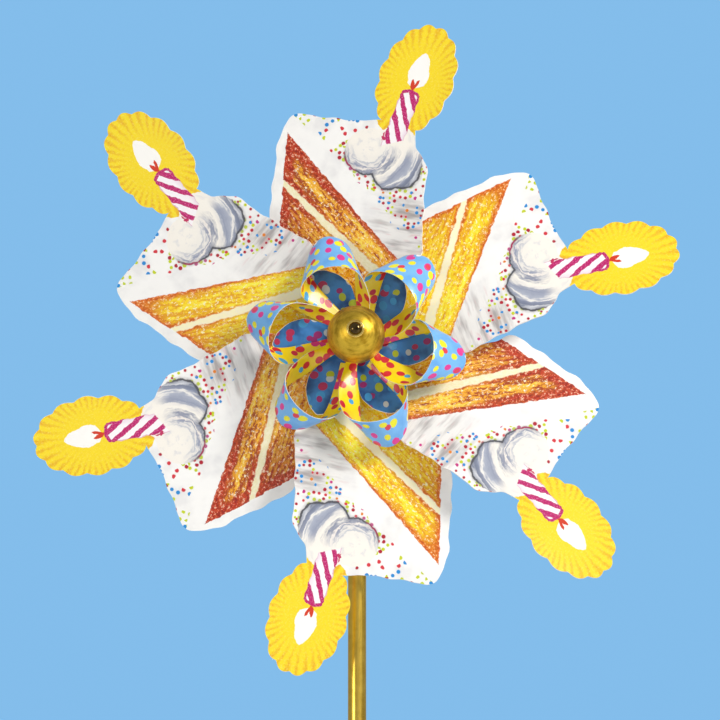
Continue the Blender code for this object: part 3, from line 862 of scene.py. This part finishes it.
def confetti_group():
    """Round paper confetti in two overlapping throws. Pick tells one dot from the next, for its colour."""
    tree, given, result = new_group(
        "Confetti", [("Print", "NodeSocketVector", (0, 0, 0)), ("Spacing", "NodeSocketFloat", 4.6)],
        [("Under", "NodeSocketFloat"), ("Under Pick", "NodeSocketFloat"), ("Over", "NodeSocketFloat"),
         ("Over Pick", "NodeSocketFloat")])
    density = calc("DIVIDE", 1.0, given["Spacing"])
    throws = (("Under", (0, 0, 0), (1, 0.86, 1), 0.66), ("Over", (31, 17, 0), (0.86, 1, 1), 0.5))
    for label, offset, squeeze, share in throws:
        moved = vector_calc("MULTIPLY", vector_calc("ADD", given["Print"], offset), squeeze)
        distance, (pick, chance, size) = scattered_cells(moved, density)
        dot = fade(distance - (size * 0.12 + 0.22), 0.015, -0.015)
        fill(tree, result, {label: dot * calc("LESS_THAN", chance, share), f"{label} Pick": pick})
    return tree


confetti = confetti_group()
confetti_spacing = 4.3


def confetti_card(name, ground, ground_shade, tones):
    """Coated card with confetti of the given tones thrown over its ground colour."""
    def colour_from(tree, place):
        colour = paint(ground, ground_shade, fade(noise(place, 0.12), 0.42, 0.7))
        thrown = place_group(tree, confetti, {"Print": place, "Spacing": confetti_spacing})
        for label, first in (("Under", 0), ("Over", 2)):
            order = tones[first:] + tones[:first]
            stops = [(index / len(order), tone) for index, tone in enumerate(order)]
            tone = pick_colour(thrown[f"{label} Pick"], stops, "CONSTANT")
            colour = paint(colour, tone, thrown[label])
        return colour
    return coated_card(name, colour_from)


blue_side = confetti_card(
    "confetti on light blue", srgb(122, 188, 244), srgb(98, 166, 232),
    [srgb(246, 238, 26), srgb(228, 52, 150), srgb(244, 234, 40), srgb(226, 56, 78), srgb(252, 252, 250),
     srgb(250, 240, 60)])
yellow_side = confetti_card(
    "confetti on yellow", srgb(253, 228, 22), srgb(246, 208, 16),
    [srgb(214, 36, 48), srgb(216, 36, 124), srgb(70, 170, 228), srgb(236, 104, 34), srgb(200, 26, 56)])
# Painted shade: the light blue confetti card darkened to a deep blue ground with dimmed dots, for the front
# of the star that lies in the shade of the loops.
blue_in_painted_shade = confetti_card(
    "light blue confetti in painted shade", srgb(58, 130, 200), srgb(12, 62, 126),
    [srgb(176, 190, 40), srgb(176, 36, 84), srgb(150, 32, 110), srgb(60, 150, 210), srgb(196, 206, 210)])


def star_sheet(star_steps=240):
    """The flat star in mm, as rings of faces. The narrow first and last rings are the bare border."""
    star = bmesh.new()
    loops = []
    for share in (0.0, 0.01, 0.2, 0.4, 0.6, 0.8, 0.994, 1.0):
        loop = []
        for step in range(star_steps):
            turn = math.tau * step / star_steps
            reach = base_hole + (reach_at(math.degrees(turn)) - base_hole) * share
            loop.append(star.verts.new((reach * math.cos(turn), reach * math.sin(turn), 0)))
        loops.append(loop)
    for row, (inner, outer) in enumerate(zip(loops, loops[1:])):
        for step in range(star_steps):
            after = (step + 1) % star_steps
            face = star.faces.new((inner[step], outer[step], outer[after], inner[after]))
            face.material_index = 1 if row in (0, len(loops) - 2) else 0
    return star


def dish(u, v):
    return base_dish * max(0.0, math.hypot(u, v) - base_flat)


spacer_back = depths("flower_spacer")[0]
flower_plane = spacer_back - disc_gap - petal_thickness / 2
star = bend_card(star_sheet(), dish, flower_plane, petal_thickness, 1, 2)
fix(star, "flower_base_card", axle @ Matrix.Rotation(base_turn, 4, "Z"),
    [blue_in_painted_shade, yellow_side, cut_core], "rotor", "flower_base")


# Petals ------------------------------------------------------------------------------------------
# Six strips of the card, each curled into an open loop: blue outside, yellow inside. The narrow tip
# is pinned under the ball and the other end tucks behind the next petal.

# The strip's front and back edges in mm: outwards, anticlockwise, forwards along the axle
petal_front = [(2.0, -2.6, 18.3), (4.9, -4.6, 18.3), (8.6, -6.8, 19.4), (14.8, -9.4, 22.6),
               (22.5, -9.0, 26.2), (26.8, -4.8, 27.6), (28.4, 2.2, 27.6), (27.0, 8.8, 26.2),
               (23.0, 13.0, 23.6), (18.5, 13.0, 20.4), (12.5, 8.2, 18.0), (7.2, 3.8, 16.9)]
petal_back = [(3.3, -0.2, 18.3), (6.9, -1.2, 18.3), (10.0, -2.6, 18.0), (19.6, -4.4, 17.7),
              (28.6, -6.2, 17.9), (35.4, -4.6, 18.3), (38.8, 0.6, 18.5), (37.6, 5.4, 18.3),
              (32.8, 9.2, 18.1), (25.0, 9.4, 17.7), (16.0, 5.2, 16.7), (9.1, 1.1, 15.6)]
petal_sag = Vector((-1.7, -3.0))  # how far the front of every loop hangs from its true place, right and up
petal_turns = (103.5, 46.0, -14.0, -74.0, -134.0, 164.0)  # degrees: the strips settle a little apart
pressed_edge, pressed_share = 0.35, 0.35  # mm of border that the die presses, and how thin it leaves it


def sagged(point, angle):
    """A petal's point after the sag of its loop. The tip and the tail are held, so they keep their place."""
    hang = Matrix.Rotation(-angle, 2) @ petal_sag
    return point + hang.to_3d() * smoothstep(16, 27, point.z) * smoothstep(6, 14, point.xy.length)


def strip_rows(angle):
    """Rows of (share across, point) down the strip, and each row's distance along it."""
    front, back = ([sagged(point, angle) for point in smooth_curve(edge, 9)]
                   for edge in (petal_front, petal_back))
    rows, lengths = [], []
    before = (front[0] + back[0]) / 2
    for start, end in zip(front, back):
        edge = pressed_edge / (end - start).length
        shares = (0.0, edge, 0.2, 0.35, 0.5, 0.65, 0.8, 1 - edge, 1.0)
        rows.append([(share, start + (end - start) * share) for share in shares])
        middle = (start + end) / 2
        lengths.append((lengths[-1] if lengths else 0.0) + (middle - before).length)
        before = middle
    return rows, lengths


def petal_strip(angle):
    """The curled strip with its thickness: slot 0 inside the loop, slot 1 outside, slot 2 at the cut."""
    rows, lengths = strip_rows(angle)
    bm = bmesh.new()
    printed = bm.verts.layers.float_vector.new("print")
    last, across = len(rows) - 1, len(rows[0]) - 1
    sides = []
    for side in (0.5, -0.5):
        grid = []
        for index, row in enumerate(rows):
            earlier, later = rows[max(index - 1, 0)], rows[min(index + 1, last)]
            span = row[-1][1] - row[0][1]
            verts = []
            for k, (share, point) in enumerate(row):
                normal = (later[k][1] - earlier[k][1]).cross(span).normalized()
                pressed = pressed_share if share in (0.0, 1.0) else 1.0
                vert = bm.verts.new((point + normal * petal_thickness / MM * side * pressed) * MM)
                vert[printed] = (lengths[index], span.length * (share - 0.5), 0)
                verts.append(vert)
            grid.append(verts)
        sides.append(grid)
    inside, outside = sides

    def face(corners, slot):
        bm.faces.new(corners).material_index = slot

    for index in range(last):
        for k in range(across):
            corners = ((index, k), (index + 1, k), (index + 1, k + 1), (index, k + 1))
            face([inside[i][j] for i, j in corners], 0)
            face([outside[i][j] for i, j in reversed(corners)], 1)
        for k in (0, across):
            face((outside[index][k], inside[index][k], inside[index + 1][k], outside[index + 1][k]), 2)
    for index in (0, last):
        for k in range(across):
            face((outside[index][k], outside[index][k + 1], inside[index][k + 1], inside[index][k]), 2)
    bmesh.ops.recalc_face_normals(bm, faces=bm.faces)
    return bm


for index, degrees in enumerate(petal_turns):
    angle = math.radians(degrees)
    fix(petal_strip(angle), f"curled_petal_{index + 1}", axle @ Matrix.Rotation(angle, 4, "Z"),
        [yellow_side, blue_side, cut_core], "rotor", f"petal_{index + 1}")


# Ball and eyelet ---------------------------------------------------------------------------------
# A 20 mm wooden ball, drilled through and gilded by brush, turns loosely on the pin. A bright brass
# eyelet lines the front of its hole, round the pin's head.

ball_back, ball_front, ball_radius = depths("gold_ball")
ball_middle = (ball_back + ball_front) / 2
ball_steps = 64
hole_turn = math.asin(bore_radius / ball_radius)
ball_profile = []
for step in range(ball_steps + 1):
    turn = hole_turn + (math.pi - 2 * hole_turn) * step / ball_steps
    ball_profile.append((ball_radius * math.sin(turn), ball_middle - ball_radius * math.cos(turn)))
lathe("gilded_ball", ball_profile, 96, axle, bead_gold, "ball", "gold_ball")

eyelet_gold = gold_material("bright gilt eyelet", srgb(255, 226, 130), srgb(232, 184, 84), (1, 1, 1),
                            0.24, 0.00003)
ring("brass_eyelet", "ball_eyelet", 2.2 * MM, 0.3 * MM, 64, eyelet_gold, "ball", 6)


# Floor, light and camera -------------------------------------------------------------------------
# A pale floor, a soft lamp high on the right, a weaker one on the left, and a low camera that looks up
# at the wheel.

floor_mesh = bmesh.new()
bmesh.ops.create_grid(floor_mesh, x_segments=1, y_segments=1, size=3.0)
floor_data = bpy.data.meshes.new("floor")
floor_mesh.to_mesh(floor_data)
floor_mesh.free()
floor_paint, _, _ = new_material("pale floor", Base_Color=(0.72, 0.74, 0.76, 1), Roughness=0.7)
floor_data.materials.append(floor_paint)
floor = bpy.data.objects.new("floor", floor_data)
floor.location.z = -0.5 * MM
bpy.context.scene.collection.objects.link(floor)

hub = Vector((0, -blade_plane, axle_height))


def lamp(name, place, size, watts, colour=(1, 1, 1)):
    """A round soft lamp at a place given from the hub in metres, turned to face it."""
    light = bpy.data.lights.new(name, "AREA")
    light.shape = "DISK"
    light.size = size
    light.energy = watts
    light.color = colour
    made = bpy.data.objects.new(name, light)
    made.location = hub + Vector(place)
    made.rotation_euler = (-Vector(place)).to_track_quat("-Z", "Y").to_euler()
    bpy.context.scene.collection.objects.link(made)


lamp("key", (0.78, -0.66, 0.5), 0.4, 10.5, (1.0, 0.97, 0.93))
lamp("fill", (-1.0, -1.1, -0.05), 0.4, 3.9, (1.0, 0.96, 0.9))
lamp("back", (-0.4, 1.3, 0.9), 0.8, 10)

world = bpy.data.worlds.new("studio")
world.use_nodes = True
air = world.node_tree
studio_light, pale_blue_wall = (0.38, 0.385, 0.395, 1), (0.23, 0.51, 0.83, 1)
seen_directly = put(air, "ShaderNodeLightPath", output="Is Camera Ray")
fill(air, air.nodes["Background"], {"Color": paint(studio_light, pale_blue_wall, seen_directly)})
bpy.context.scene.world = world
bpy.context.scene.view_settings.view_transform = "Standard"

look_up, look_left, distance = math.radians(10.6), math.radians(0.8), 1.05
aim = hub + Vector((1.2, 0, -5.8)) * MM
view_from = Vector((math.sin(look_left) * math.cos(look_up), -math.cos(look_left) * math.cos(look_up),
                    -math.sin(look_up)))
camera_data = bpy.data.cameras.new("camera")
camera_data.lens = 150
camera_data.sensor_width = 36
camera = bpy.data.objects.new("camera", camera_data)
camera.location = aim + view_from * distance
camera.rotation_euler = (-view_from).to_track_quat("-Z", "Y").to_euler()
bpy.context.scene.collection.objects.link(camera)
bpy.context.scene.camera = camera
